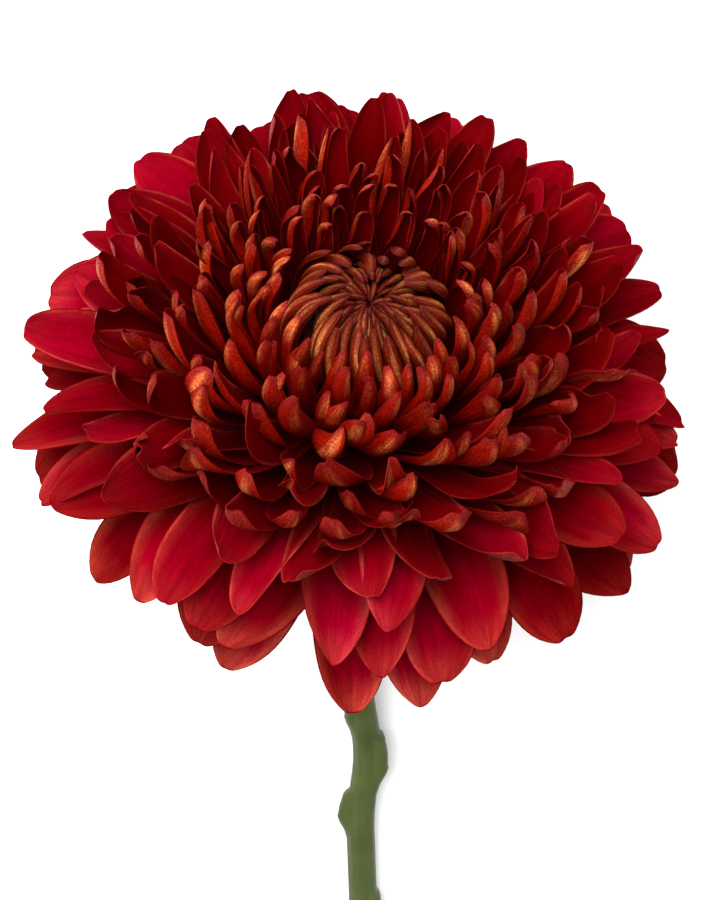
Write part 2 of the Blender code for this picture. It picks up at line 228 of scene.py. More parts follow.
def petalGrainGroup():
    # lengthwise streaks and veins of a petal, from its place attribute
    group, enter, leave = newGroup(
        "petalGrain", {"Place": "Vector", "Fine Place": "Vector", "Streak Count": "Float", "Vein Count": "Float"},
        {"Streak": "Float", "Vein": "Float", "Mottle": "Float", "Speckle": "Float"},
    )
    parts = addNode(group, "ShaderNodeSeparateXYZ")
    group.links.new(enter["Place"], parts.inputs[0])

    def drawnOutNoise(scales, detail, roughness):
        spread = addNode(group, "ShaderNodeCombineXYZ")
        for part, scale, socket in zip(parts.outputs, scales, spread.inputs):
            group.links.new(product(group, part, scale), socket)
        noise = addNode(group, "ShaderNodeTexNoise", Scale=1.0, Detail=detail, Roughness=roughness)
        group.links.new(spread.outputs[0], noise.inputs["Vector"])
        return noise.outputs["Fac"]

    streak = drawnOutNoise((enter["Streak Count"], *grainScales["streak"]), 3.0, 0.6)
    mottle = drawnOutNoise(grainScales["mottle"], 4.0, 0.65)
    vein = mathNode(group, "COSINE", product(group, parts.outputs[0], enter["Vein Count"], math.pi))
    speckle = addNode(group, "ShaderNodeTexNoise", Scale=grainScales["speckle"], Detail=2.0, Roughness=0.7)
    group.links.new(enter["Fine Place"], speckle.inputs["Vector"])
    for name, value, low, high in (
        ("Streak", streak, 0.32, 0.68), ("Vein", vein, -1.0, 1.0),
        ("Mottle", mottle, 0.3, 0.7), ("Speckle", speckle.outputs["Fac"], 0.38, 0.66),
    ):
        group.links.new(rangeNode(group, value, low, high), leave[name])
    return group


petalGrain = petalGrainGroup()


def grainNode(tree, place, streaks, veins):
    node = addNode(tree, "ShaderNodeGroup", node_tree=petalGrain, Streak_Count=streaks, Vein_Count=veins)
    tree.links.new(place, node.inputs["Place"])
    return node


def fleckGroup():
    # soft uneven flecks of living tissue, used by the bases, the cup and the stem
    group, enter, leave = newGroup("tissueFleck", {"Place": "Vector", "Size": "Float"}, {"Fleck": "Float"})
    fleck = addNode(group, "ShaderNodeTexNoise", Detail=3.0, Roughness=0.6)
    group.links.new(enter["Place"], fleck.inputs["Vector"])
    group.links.new(enter["Size"], fleck.inputs["Scale"])
    group.links.new(fleck.outputs["Fac"], leave["Fleck"])
    return group


tissueFleck = fleckGroup()


def fleckNode(tree, place, size):
    node = addNode(tree, "ShaderNodeGroup", node_tree=tissueFleck, Size=size)
    tree.links.new(place, node.inputs["Place"])
    return node.outputs["Fleck"]


def petalMaterial(look):
    # colour runs along the petal, then its patch, margins, streaks and tip are laid over it
    material, tree, shader = newMaterial(look["name"])
    place, (across, along, tint) = attributeNode(tree, "place")
    age = addNode(tree, "ShaderNodeAttribute", attribute_name="age").outputs["Fac"]
    grain = grainNode(tree, place, look["streaks"], look["veins"])
    tree.links.new(addNode(tree, "ShaderNodeTexCoord").outputs["Object"], grain.inputs["Fine Place"])
    streak, mottle, speckle = (grain.outputs[name] for name in ("Streak", "Mottle", "Speckle"))
    aside = mathNode(tree, "ABSOLUTE", across)

    def ownNumber(name):
        # from 0 to 1, and each floret has its own
        return mathNode(tree, "FRACT", product(tree, tint, look[name]))

    def ranged(value, name, *ends):
        return rangeNode(tree, value, *look[name], *ends)

    def scaled(value, name):
        return rangeNode(tree, value, 0.0, 1.0, *look[name])

    outer = rampNode(tree, along, look["outer"])
    inner = rampNode(tree, along, look["inner"])
    # each floret leans towards one of two hues
    hue = ranged(ownNumber("hueTurns"), "hue")
    hue = product(tree, hue, ranged(along, "blushFrom"), look["blush"])
    outer = mixNode(tree, hue, outer, look["blushColour"])
    colour = mixNode(tree, ranged(age, "ageRange"), outer, inner)
    # a stripe or patch down the middle, further up on the florets of the lower side and on the young ones
    offset = mathNode(tree, "SUBTRACT", ownNumber("patchTurns"), 0.5)
    offset = mathNode(tree, "ADD", across, product(tree, offset, look["stripeOffset"]))
    narrower = mathNode(tree, "ADD", product(tree, tint, look["stripeNarrower"]), 1.0)
    middle = product(tree, mathNode(tree, "ABSOLUTE", offset), narrower)
    further = mathNode(tree, "SUBTRACT", along, product(tree, tint, look["stripeShift"]))
    young = ranged(age, "patchYoung", 0.0, look["stripeYoung"])
    further = mathNode(tree, "SUBTRACT", further, young)
    middle = product(
        tree, ranged(middle, "stripeAcross"), ranged(further, "stripeFrom"),
        ranged(along, "patchEnd"), scaled(mottle, "patchMottle"),
        ranged(age, "stripeAge"), look["stripe"],
    )
    colour = mixNode(tree, middle, colour, look["stripeColour"])
    # paler margins that meet round the tip, broken up by the streaks; on the heart florets the same mask is painted
    # shade, dark down their flanks
    margin = product(tree, ranged(along, "tipMargin"), look["marginTip"])
    margin = mathNode(tree, "MAXIMUM", ranged(aside, "marginAcross"), margin)
    margin = product(
        tree, margin, ranged(along, "marginAlong"), scaled(tint, "margin"),
        ranged(age, "marginAge"), scaled(mottle, "marginMottle"),
    )
    margin = mathNode(tree, "MULTIPLY", margin, scaled(streak, "marginStreak"), True)
    # every margin ends in a narrow soft rim
    rim = product(
        tree, ranged(aside, "rimAcross"), ranged(along, "rimAlong", 0.0, look["rim"]), scaled(mottle, "rimMottle")
    )
    colour = mixNode(tree, mathNode(tree, "MAXIMUM", margin, rim), colour, look["marginAndFlankShadeColour"])
    colour = mixNode(tree, product(tree, streak, look["streak"]), colour, look["streakColour"])
    # a dark crease runs into the tip, which ends in a small violet point
    crease = product(tree, ranged(aside, "creaseAcross"), ranged(along, "creaseAlong"))
    point = product(tree, ranged(along, "pointAlong"), ranged(aside, "pointAcross"))
    darker = product(tree, mathNode(tree, "MAXIMUM", crease, point), look["crease"])
    colour = mixNode(tree, darker, colour, look["creaseColour"])
    # painted shade: the lower florets are darkest where they stand up round the heart, the upper ones at the rim
    paintedShade = product(tree, ranged(age, "standingAge"), ranged(tint, "standingTint", 0.0, look["standingShadeDepth"]))
    upperRimShade = product(tree, ranged(age, "farAge"), ranged(tint, "farTint", 0.0, look["upperRimShadeDepth"]))
    paintedShade = mathNode(tree, "MAXIMUM", paintedShade, upperRimShade)
    # painted light and shade: one half of each petal is paler than the other, as if the light fell on it from one
    # side
    half = product(tree, mathNode(tree, "SUBTRACT", ownNumber("litHalfTurns"), 0.5), across)
    shade = product(
        tree, scaled(mottle, "mottle"), scaled(ownNumber("tintTurns"), "tint"),
        mathNode(tree, "SUBTRACT", 1.0, paintedShade), scaled(speckle, "speckle"),
        ranged(half, "half", *look["litHalves"]),
    )
    # a darker floret is also a purer red
    purer = mathNode(tree, "POWER", shade, look["purer"])
    shadeColour = addNode(tree, "ShaderNodeCombineColor")
    for socket, value in zip(shadeColour.inputs, (shade, purer, purer)):
        tree.links.new(value, socket)
    colour = mixNode(tree, 1.0, colour, shadeColour.outputs[0], "MULTIPLY")
    tree.links.new(colour, shader.inputs["Base Color"])
    tree.links.new(scaled(streak, "roughness"), shader.inputs["Roughness"])
    height = mathNode(tree, "ADD", grain.outputs["Vein"], product(tree, streak, look["streakHeight"]))
    height = mathNode(tree, "ADD", height, product(tree, speckle, look["speckleHeight"]))
    addBump(tree, shader, mathNode(tree, "SUBTRACT", height, crease), look["bump"], look["bumpDistance"])
    setInputs(shader, {
        "Specular IOR Level": look["specular"], "IOR": look["ior"], "Specular Tint": look["specularTint"],
        "Sheen Weight": look["sheen"], "Sheen Roughness": look["sheenRoughness"], "Sheen Tint": look["sheenTint"],
    })
    return material


# outer and inner are ramps from root to tip, for the oldest florets and the youngest
petalLook = {
    # where each zone starts and is full: across from 0 in the middle to 1 at a margin, along from root to tip,
    # age from 0 at the rim to 1 at the heart, and tint, which is higher on the lower side
    "patchEnd": (0.99, 0.94), "patchYoung": (0.55, 0.90), "patchMottle": (0.35, 1.0),
    "marginAlong": (0.30, 0.75), "marginMottle": (0.65, 1.1), "marginStreak": (0.8, 1.1), "marginTip": 0.75,
    "rimAcross": (0.80, 1.0), "rimAlong": (0.35, 0.80), "rimMottle": (0.1, 1.0),
    "creaseAcross": (0.16, 0.0), "creaseAlong": (0.70, 0.95), "pointAcross": (0.8, 0.2), "pointAlong": (0.955, 1.0),
    "standingAge": (0.22, 0.45), "standingTint": (0.25, 0.75), "farAge": (0.24, 0.06), "farTint": (0.85, 0.45),
    "hue": (0.3, 0.8), "half": (-0.4, 0.4), "streakHeight": 0.8, "speckleHeight": 0.6, "bumpDistance": 0.0003,
    "hueTurns": 5.3, "patchTurns": 13.1, "litHalfTurns": 17.3,
    "sheenTint": (1.0, 0.01, 0.03, 1), "sheenRoughness": 0.4, "specularTint": (1.0, 0.24, 0.16, 1),
    "stripeShift": 0.0, "stripeYoung": 0.0, "stripeOffset": 0.0, "stripeNarrower": 0.0, "tipMargin": (0.74, 0.96),
    "rim": 0.0, "crease": 0.35, "standingShadeDepth": 0.0, "upperRimShadeDepth": 0.0, "ior": 1.3, "sheen": 0.0,
}
# the faces' ramps darken towards the root: partly the petals' own deeper crimson, partly painted shade where the
# roots lie under other florets
rayFaceLook = dict(
    petalLook, name="rayFace",
    outer=(
        (0.0, (0.042, 0.0, 0.0001)), (0.42, (0.082, 0.0, 0.0003)), (0.64, (0.138, 0.0, 0.0022)),
        (0.84, (0.242, 0.0, 0.0108)), (1.0, (0.295, 0.0010, 0.0145)),
    ),
    inner=(
        (0.0, (0.028, 0.0, 0.0)), (0.45, (0.070, 0.0, 0.0001)), (0.80, (0.138, 0.0, 0.0006)),
        (1.0, (0.195, 0.001, 0.0035)),
    ),
    ageRange=(0.2, 0.6), blush=0.5, blushColour=(0.265, 0.0, 0.0185), blushFrom=(0.30, 0.9),
    stripe=0.5, stripeColour=(0.25, 0.0, 0.018), stripeAcross=(0.60, 0.0), stripeOffset=0.3,
    stripeFrom=(0.3, 0.8), stripeAge=(0.6, 0.2),
    margin=(0.08, 0.95), marginAndFlankShadeColour=(0.52, 0.100, 0.052), marginAcross=(0.50, 0.98), tipMargin=(0.86, 1.0),
    marginAge=(0.36, 0.0, 0.10, 1.0), rim=0.55, crease=0.22, creaseColour=(0.10, 0.0, 0.010),
    streaks=5.0, streak=0.36, streakColour=(0.100, 0.0, 0.0024), veins=11.0, mottle=(0.92, 1.06),
    speckle=(0.92, 1.09), purer=2.0, litHalves=(0.78, 1.20), tint=(0.46, 0.89), tintTurns=3.7, standingShadeDepth=0.3,
    upperRimShadeDepth=0.42, roughness=(0.62, 0.52), bump=0.22, specular=0.0, ior=1.02, sheen=0.10,
)
rayReverseLook = dict(
    petalLook, name="rayReverse",
    outer=(
        (0.0, (0.13, 0.004, 0.003)), (0.45, (0.19, 0.012, 0.008)), (0.85, (0.31, 0.050, 0.036)),
        (1.0, (0.34, 0.070, 0.054)),
    ),
    inner=(
        (0.0, (0.06, 0.0002, 0.0002)), (0.50, (0.168, 0.0008, 0.0001)), (0.75, (0.288, 0.005, 0.0005)),
        (0.93, (0.330, 0.015, 0.003)), (1.0, (0.34, 0.045, 0.038)),
    ),
    ageRange=(0.34, 0.50), blush=0.5, blushColour=(0.22, 0.006, 0.004), blushFrom=(0.2, 0.8),
    stripe=0.97, stripeColour=(1.0, 0.370, 0.105), stripeAcross=(1.0, 0.20), stripeOffset=0.5, stripeNarrower=1.8,
    stripeShift=0.14, stripeYoung=0.13, stripeFrom=(0.56, 0.74), stripeAge=(0.33, 0.48),
    margin=(0.0, 0.9), marginAndFlankShadeColour=(0.24, 0.003, 0.001), marginAcross=(0.50, 0.95), marginAge=(0.0, 1.0, 0.6, 1.0),
    creaseColour=(0.20, 0.012, 0.022), streaks=11.0, streak=0.22, streakColour=(0.18, 0.006, 0.002), veins=9.0,
    purer=1.9, litHalves=(0.90, 1.08), mottle=(0.82, 1.12), speckle=(0.76, 1.28), tint=(0.46, 0.75), tintTurns=7.7,
    standingShadeDepth=0.12, upperRimShadeDepth=0.12, roughness=(0.58, 0.46), bump=0.35, specular=0.30,
)
rayEdgeLook = dict(
    rayFaceLook, name="rayEdge", stripe=0.0, streak=0.1, crease=0.0, rim=0.0, margin=(-1.6, 0.55),
    marginAndFlankShadeColour=(0.48, 0.080, 0.042), marginAcross=(0.3, 0.98), marginAge=(0.16, 0.36, 0.0, 1.0),
    outer=((0.0, (0.07, 0.0001, 0.0004)), (0.5, (0.14, 0.0004, 0.002)), (1.0, (0.25, 0.003, 0.010))),
    inner=((0.0, (0.03, 0.0001, 0.0002)), (0.6, (0.09, 0.0006, 0.001)), (1.0, (0.21, 0.008, 0.010))),
)
heartFaceLook = dict(
    rayFaceLook, name="heartFace", ageRange=(1.0, 1.6),
    outer=((0.0, (0.03, 0.0004, 0.0004)), (1.0, (0.12, 0.002, 0.001))),
    inner=((0.0, (0.03, 0.001, 0.0005)), (1.0, (0.08, 0.006, 0.002))),
)
heartReverseLook = dict(
    petalLook, name="heartReverse",
    outer=(
        (0.0, (0.05, 0.0003, 0.0002)), (0.45, (0.17, 0.0015, 0.0003)), (0.74, (0.25, 0.009, 0.0008)),
        (0.92, (0.36, 0.038, 0.012)), (1.0, (0.35, 0.044, 0.045)),
    ),
    inner=(
        (0.0, (0.03, 0.001, 0.0003)), (0.45, (0.14, 0.008, 0.001)), (0.70, (0.37, 0.135, 0.024)),
        (0.84, (0.31, 0.085, 0.016)), (0.94, (0.13, 0.010, 0.006)), (1.0, (0.055, 0.0015, 0.002)),
    ),
    ageRange=(1.14, 1.48), blush=0.3, blushColour=(0.30, 0.018, 0.008), blushFrom=(0.3, 0.9),
    stripe=0.85, stripeColour=(0.92, 0.375, 0.115), stripeAcross=(0.30, 0.04),
    # the margin of the heart's reverse is painted shade: it darkens the flanks of each floret where they crowd
    # together
    stripeFrom=(0.48, 0.80), stripeAge=(0.9, 1.0), margin=(0.95, 1.25),
    marginAndFlankShadeColour=(0.045, 0.0012, 0.0006), marginAcross=(0.10, 0.76), marginAge=(0.0, 1.0, 1.0, 1.0),
    creaseColour=(0.14, 0.010, 0.016), streaks=7.0, streak=0.25, streakColour=(0.14, 0.010, 0.002), veins=7.0,
    purer=1.6, litHalves=(0.94, 1.06), mottle=(0.80, 1.12), speckle=(0.78, 1.25), tint=(0.52, 0.80), tintTurns=1.0,
    roughness=(0.54, 0.42), bump=0.4, specular=0.35,
)
heartEdgeLook = dict(heartReverseLook, name="heartEdge", stripe=0.0)

rayMaterials = [petalMaterial(look) for look in (rayFaceLook, rayReverseLook, rayEdgeLook)]
heartMaterials = [petalMaterial(look) for look in (heartFaceLook, heartReverseLook, heartEdgeLook)]
print("petal materials made")


# florets

# age, rootR, rootZ, shoulderR, shoulderZ, leave, arrive, hookTurn, hookLength, width, cupMid, cupTip
rayShapes = (
    (0.000, 10.5, -17.0, 51.5, -13.0, 10, -30, -14, 6.5, 15.0, 4, 3),
    (0.111, 11.0, -15.0, 53.5, -5.0, 20, -22, -8, 6.5, 15.0, 6, 6),
    (0.222, 11.0, -13.0, 51.5, 4.0, 32, -8, 0, 6.5, 14.6, 10, 10),
    (0.333, 11.0, -11.0, 48.5, 11.0, 42, 12, 18, 7.0, 13.6, 16, 22),
    (0.444, 11.0, -9.0, 44.5, 15.5, 49, 32, 36, 7.5, 12.2, 24, 38),
    (0.556, 11.0, -7.0, 39.5, 18.5, 54, 48, 38, 7.5, 10.4, 34, 52),
    (0.667, 11.0, -5.0, 34.0, 21.5, 57, 60, 42, 7.5, 9.2, 46, 70),
    (0.778, 11.0, -3.5, 28.8, 23.5, 56, 70, 48, 7.0, 8.2, 58, 82),
    (0.889, 11.0, -2.5, 23.8, 24.0, 54, 80, 56, 6.5, 7.4, 66, 90),
    (1.000, 11.0, -1.5, 19.8, 22.5, 52, 88, 64, 6.0, 6.4, 72, 94),
)
heartShapes = (
    (0.00, 5.0, 0.0, 15.6, 16.5, 34, 90, 62, 11.0, 5.4, 76, 96),
    (0.22, 4.8, 1.0, 14.6, 18.0, 38, 92, 78, 11.5, 4.5, 78, 96),
    (0.40, 4.2, 2.0, 12.0, 18.6, 46, 94, 94, 11.0, 3.3, 80, 94),
    (0.70, 3.0, 3.0, 8.8, 19.2, 58, 95, 108, 9.5, 2.6, 80, 92),
    (1.00, 1.5, 4.0, 4.6, 19.6, 70, 96, 118, 5.5, 2.0, 78, 90),
)
# height and radius of the space that the heart grows in, which the ray florets keep out of
heartWall = (
    (-3.0, 8.0), (0.0, 11.6), (4.0, 14.6), (8.0, 16.4), (12.0, 16.9), (20.0, 16.9), (24.0, 15.8), (28.0, 13.5),
    (34.0, 9.0),
)
wallGap = {"heart": 0.35, "rays": 0.7}

surfaceRest = {"touchingAge": 0.08, "stackRise": 8.0, "height": 0.35, "least": 0.18, "slack": 0.1}
spine = {"steps": 40, "handle": 0.38, "hookSteps": 12}
thickness = 0.2
lowerSide = -100


def shapeAt(shapes, age):
    fields = list(zip(*shapes))
    return [between(list(zip(fields[0], field)), age) for field in fields]


def drawSpine(floret):
    # a curve from the root to the shoulder, and a hook from there to the tip
    rootR, rootZ, shoulderR, shoulderZ, leave, arrive, turn, hookLength = floret.shape[1:9]
    leave = math.radians(leave + floret.tilt)
    arrive = math.radians(arrive + floret.tilt)
    root = Vector((rootR, rootZ))
    chord = Vector((shoulderR - rootR, shoulderZ - rootZ)) * floret.stretch
    chord = Matrix.Rotation(math.radians(floret.tilt), 2) @ chord
    shoulder = root + chord
    press = floret.press
    if press:
        perRadius = (bloomTurn @ Vector((math.cos(floret.azimuth), math.sin(floret.azimuth), 0))).z
        perHeight = (bloomTurn @ Vector((0, 0, 1))).z
        height = bloom["centre"].z + perRadius * shoulder.x + perHeight * shoulder.y
        shoulder.y += press * (floret.level - height) / perHeight
        arrive += press * (math.atan2(-perRadius, perHeight) - arrive)
        chord = shoulder - root
    handle = spine["handle"] * chord.length
    first = root + handle * Vector((math.cos(leave), math.sin(leave)))
    second = shoulder - handle * Vector((math.cos(arrive), math.sin(arrive)))
    points = [bezierPoint(root, first, second, shoulder, step / spine["steps"]) for step in range(spine["steps"] + 1)]
    turn = math.radians(turn * floret.hook + floret.droop) * (1 - press)
    for step in range(spine["hookSteps"]):
        slope = arrive + turn * (step + 0.5) / spine["hookSteps"]
        points.append(points[-1] + hookLength / spine["hookSteps"] * Vector((math.cos(slope), math.sin(slope))))
    lengths = [0.0]
    for before, after in zip(points, points[1:]):
        lengths.append(lengths[-1] + (after - before).length)
    floret.points, floret.lengths = points, lengths


def onSpine(floret, along):
    points, lengths = floret.points, floret.lengths
    want = along * lengths[-1]
    last = len(points) - 1
    index = next((i for i in range(1, last) if lengths[i] >= want), last)
    share = (want - lengths[index - 1]) / (lengths[index] - lengths[index - 1])
    direction = points[min(last, index + 1)] - points[max(0, index - 2)]
    return points[index - 1].lerp(points[index], share), direction.normalized()


# the lowest and highest draws, with angles in degrees and lengths in mm
spread = {
    "stretch": (-0.05, 0.04), "tilt": (-3, 3), "hook": (-0.35, 0.35), "twist": (-20, 20), "side": (-4, 4),
    "wave": (0.2, 1.0), "phase": (0, 2 * math.pi), "width": (-0.08, 0.08), "curl": (-0.8, 1.0),
    "rolled": (0.45, 1.25), "unrolled": (-0.1, 0.3), "cupShare": (0.85, 1.15), "lean": (-30, 30), "channel": (0, 22),
    "rayHook": (-0.55, 0.45), "rayStretch": (-0.06, 0.05), "rayTilt": (-2.5, 2.5), "raySide": (-5, 5),
    "rayDroop": (-14, 14), "rayVeer": (1.5, 4.5),
}
# clawDroop, backDroop and leanIn are degrees, the others shares
habit = {"lowerFadeAndShade": 0.55, "clawDroop": 44, "backDroop": 15, "backRoll": 0.6, "leanIn": 4.5, "lowerLength": 0.04}


def newFloret(shapes, age, azimuth, draw, extra, inHeart):
    floret = SimpleNamespace(shape=shapeAt(shapes, age), azimuth=azimuth, inHeart=inHeart, age=age, press=0.0)
    floret.droop = floret.veer = floret.claw = 0.0
    floret.stretch = 1 + draw.uniform(*spread["stretch"])
    floret.tilt = draw.uniform(*spread["tilt"]) * 0.7
    floret.hook = 1 + draw.uniform(*spread["hook"])
    floret.twist = math.radians(draw.uniform(*spread["twist"])) * (0.4 if inHeart else 1)
    floret.side = math.radians(draw.uniform(*spread["side"])) * (0.5 if inHeart else 1)
    floret.wave = draw.uniform(*spread["wave"])
    floret.phase = draw.uniform(*spread["phase"])
    floret.width = floret.shape[9] * (1 + draw.uniform(*spread["width"]))
    floret.tint = extra.random()
    lower = floret.lower = smooth((1 + math.cos(azimuth - math.radians(lowerSide))) / 2)
    # the florets of the lower side are the most faded; the same tint also places the painted shade of the lower and
    # the upper florets
    if not inHeart:
        floret.tint = (1 - habit["lowerFadeAndShade"]) * floret.tint + habit["lowerFadeAndShade"] * lower
    floret.curl = [extra.uniform(*spread["curl"]), extra.uniform(*spread["curl"])]
    folds = [extra.uniform(*spread["rolled"]), extra.uniform(*spread["unrolled"])]
    floret.fold = folds if extra.random() < 0.5 else folds[::-1]
    floret.cupShare = extra.uniform(*spread["cupShare"])
    floret.lean = math.radians(extra.uniform(*spread["lean"]))
    floret.channel = extra.uniform(*spread["channel"])
    middleAge = spell(age, (0.3, 0.15), (0.7, 0.15))
    floret.hook += extra.uniform(*spread["rayHook"]) * (0 if inHeart else middleAge)
    if not inHeart:
        floret.stretch *= 1 + extra.uniform(*spread["rayStretch"])
        floret.tilt += extra.uniform(*spread["rayTilt"]) * (1 if age > 0.1 else 0.4)
        floret.side += math.radians(extra.uniform(*spread["raySide"]))
        floret.twist *= 1 + 0.5 * smooth((0.35 - age) / 0.1)
        floret.droop = extra.uniform(*spread["rayDroop"]) * smooth((0.4 - age) / 0.1)
        floret.veer = extra.choice((-1, 1)) * extra.uniform(*spread["rayVeer"]) * middleAge * (0.3 + 0.7 * lower)
        # on the lower side the middle ones end in a folded claw, and the outer ones are longest
        floret.claw = spell(age, (0.28, 0.14), (0.64, 0.14)) * lower
        floret.droop += habit["clawDroop"] * floret.claw * (1 + 0.6 * floret.curl[0])
        floret.stretch *= 1 + habit["lowerLength"] * lower * smooth((0.34 - age) / 0.1)
        # at the back the young tips bend over and the middle ones roll in a margin, which shows their golden reverse
        back = smooth((1 - lower) / 0.5)
        bent = habit["backDroop"] * back * spell(age, (0.68, 0.1), (0.93, 0.05))
        floret.droop += bent * (0.7 + 0.7 * floret.curl[1])
        rolled = 1 + habit["backRoll"] * back * spell(age, (0.34, 0.1), (0.76, 0.1))
        floret.fold = [share * rolled if share > 0.4 else share for share in floret.fold]
        # the youngest ones lean in over the heart
        floret.tilt += habit["leanIn"] * lower * smooth((age - 0.78) / 0.15)
    floret.pointed = extra.random() ** 2.6
    floret.swirl = math.radians(-14) if inHeart else 0.0
    rest = surfaceRest
    floret.level = rest["stackRise"] * max(0.0, age - rest["touchingAge"]) + rest["height"]
    drawSpine(floret)
    if not inHeart:
        lieOnSurface(floret)
    return floret


blade = {
    "rootWidth": 0.34, "widestAt": 0.62, "tipFrom": 0.66, "ribDepth": 0.24, "ribTurns": 3.2, "ruffle": 0.9,
    "fineRuffle": 0.22, "curl": 2.0, "clawCurl": 1.2, "notchDepth": 0.45, "notchWidth": 0.22, "beak": 0.9,
    "flattest": 0.03, "start": 0.05, "rowSpacing": 1.25,
}


def petalPoint(floret, along, across):
    inHeart, age, lower, pointed = floret.inHeart, floret.age, floret.lower, floret.pointed
    place, direction = onSpine(floret, along)
    azimuth = floret.azimuth + floret.side * along**2 + floret.swirl * smooth((along - 0.4) / 0.6)
    outward, roundWard = directions(azimuth)
    up = Vector((0, 0, 1))
    tangent = outward * direction.x + up * direction.y
    normal = up * direction.x - outward * direction.y
    lips = 0.0 if inHeart else spell(age, (0.22, 0.15), (0.62, 0.15))
    upright = 1.0 if inHeart else smooth((age - 0.45) / 0.2)
    twist = floret.twist * smooth((along - 0.2) / 0.8) * (1 + lips * (0.6 + 0.9 * lower))
    if not inHeart:
        twist += floret.lean * upright * smooth((along - 0.3) / 0.5)
    aside = roundWard * math.cos(twist) + normal * math.sin(twist)
    normal = normal * math.cos(twist) - roundWard * math.sin(twist)
    grown = blade["rootWidth"] + (1 - blade["rootWidth"]) * smooth(along / blade["widestAt"])
    # the outer florets of the back are broad and round
    broad = 0.0 if inHeart else (1 - lower) * smooth((0.5 - age) / 0.2)
    pointed *= 1 - 0.7 * broad
    pointed += (1 - pointed) * 0.4 * lips * lower
    tipFrom = blade["tipFrom"] - 0.12 * lips
    tip = max(0.0, (along - tipFrom) / (1 - tipFrom))
    power = 3.4 - 1.1 * pointed + 0.9 * upright
    halfWidth = floret.width / 2 * grown * (1 - 0.12 * lips * lower + 0.12 * broad)
    halfWidth *= max(0.05, 1 - tip**power) ** (0.48 + 0.14 * pointed * (1 - upright) + 0.03 * upright)
    cupMid, cupTip = floret.shape[10:12]
    cup = math.radians(cupMid + (cupTip - cupMid) * smooth((along - 0.45) / 0.5))
    cup *= 0.55 + 0.45 * smooth(along / 0.5)
    flatter = (1 - lower) * smooth((0.55 - age) / 0.25)
    opened = 1 - 0.55 * floret.claw * smooth((along - 0.5) / 0.25)
    cup = max(blade["flattest"], cup * floret.cupShare * (1 - 0.4 * flatter) * opened)
    if not inHeart:
        channel = math.radians(floret.channel) * (1 - smooth((age - 0.25) / 0.25)) * smooth(along / 0.3)
        cup = max(blade["flattest"], cup + channel)
    # one margin rolls further in than the other, which shows the reverse as a narrow tongue
    half = 0 if across < 0 else 1
    folded = 0.0 if inHeart else smooth((age - 0.26) / 0.12) * smooth((along - 0.5) / 0.25)
    bend = cup * (1 + floret.fold[half] * folded * smooth((abs(across) - 0.05) / 0.5))
    radius = halfWidth / bend
    point = outward * place.x + up * place.y
    point += roundWard * floret.veer * smooth((along - 0.7) / 0.34)
    point += aside * radius * math.sin(across * bend)
    point += normal * radius * (1 - math.cos(across * bend))
    if not inHeart:
        # lengthwise ribs, uneven ruffled margins and curled lips
        flat = 1 - smooth((age - 0.2) / 0.5)
        ribs = math.cos(blade["ribTurns"] * math.pi * across)
        point += normal * flat * blade["ribDepth"] * ribs * smooth(along / 0.4) * (1 - along**6)
        ruffle = floret.wave * blade["ruffle"] * smooth((along - 0.35) / 0.5) * across**2
        ruffle *= 0.35 + 0.65 * smooth((age - 0.1) / 0.35)
        ruffle *= math.sin(7 * along + floret.phase + (1.3 if across > 0 else 0))
        fine = math.sin(17 * along + 2 * floret.phase + across)
        ruffle += blade["fineRuffle"] * fine * across**4 * smooth((along - 0.4) / 0.3)
        curl = floret.curl[half] * (blade["curl"] + blade["clawCurl"] * floret.claw) * lips
        ruffle += curl * smooth((abs(across) - 0.35) / 0.65) * smooth((along - 0.55) / 0.4)
        point += normal * ruffle
    nearTip = smooth((along - 0.9) / 0.1)
    notch = blade["notchDepth"] * math.exp(-((across / blade["notchWidth"]) ** 2))
    notch *= smooth((along - 0.95) / 0.05) * (1 - pointed)
    beak = (0.25 + 0.75 * pointed) * (1 - upright) + 0.40 * upright
    point += tangent * (blade["beak"] * (1 - abs(across)) * nearTip * beak - notch)
    return point


def lieOnSurface(floret):
    # the outermost florets lie along the surface, and the others bend only clear of it
    def tooLow():
        heights = (inPlace(petalPoint(floret, 0.4 + 0.06 * step, 0)).z for step in range(11))
        return min(heights) < floret.level - surfaceRest["slack"]

    if not tooLow():
        return
    low, high = 0.0, 1.0
    for _ in range(0 if floret.age < surfaceRest["touchingAge"] else 7):
        floret.press = (low + high) / 2
        drawSpine(floret)
        if tooLow():
            low = floret.press
        else:
            high = floret.press
    floret.press = high
    drawSpine(floret)


def keptApart(point, inHeart):
    radius = max(0.01, math.hypot(point.x, point.y))
    wall = between(heartWall, point.z)
    allowed = min(radius, wall - wallGap["heart"]) if inHeart else max(radius, wall + wallGap["rays"])
    return Vector((point.x * allowed / radius, point.y * allowed / radius, point.z))


def addPetal(bm, floret, columns, rows):
    place = bm.verts.layers.float_vector["place"]
    age = bm.verts.layers.float["age"]
    made = bmesh.ops.create_grid(bm, x_segments=columns, y_segments=rows, size=1.0)["verts"]
    for vert in made:
        across = vert.co.x
        reach = (vert.co.y + 1) / 2
        along = blade["start"] + (1 - blade["start"]) * (1 - (1 - reach) ** blade["rowSpacing"])
        point = inPlace(keptApart(petalPoint(floret, along, across), floret.inHeart))
        point.z = max(point.z, surfaceRest["least"])
        vert.co = point * mm
        vert[place] = (across, along, floret.tint)
        # the heart's ages follow those of the rays
        vert[age] = floret.age + (1 if floret.inHeart else 0)


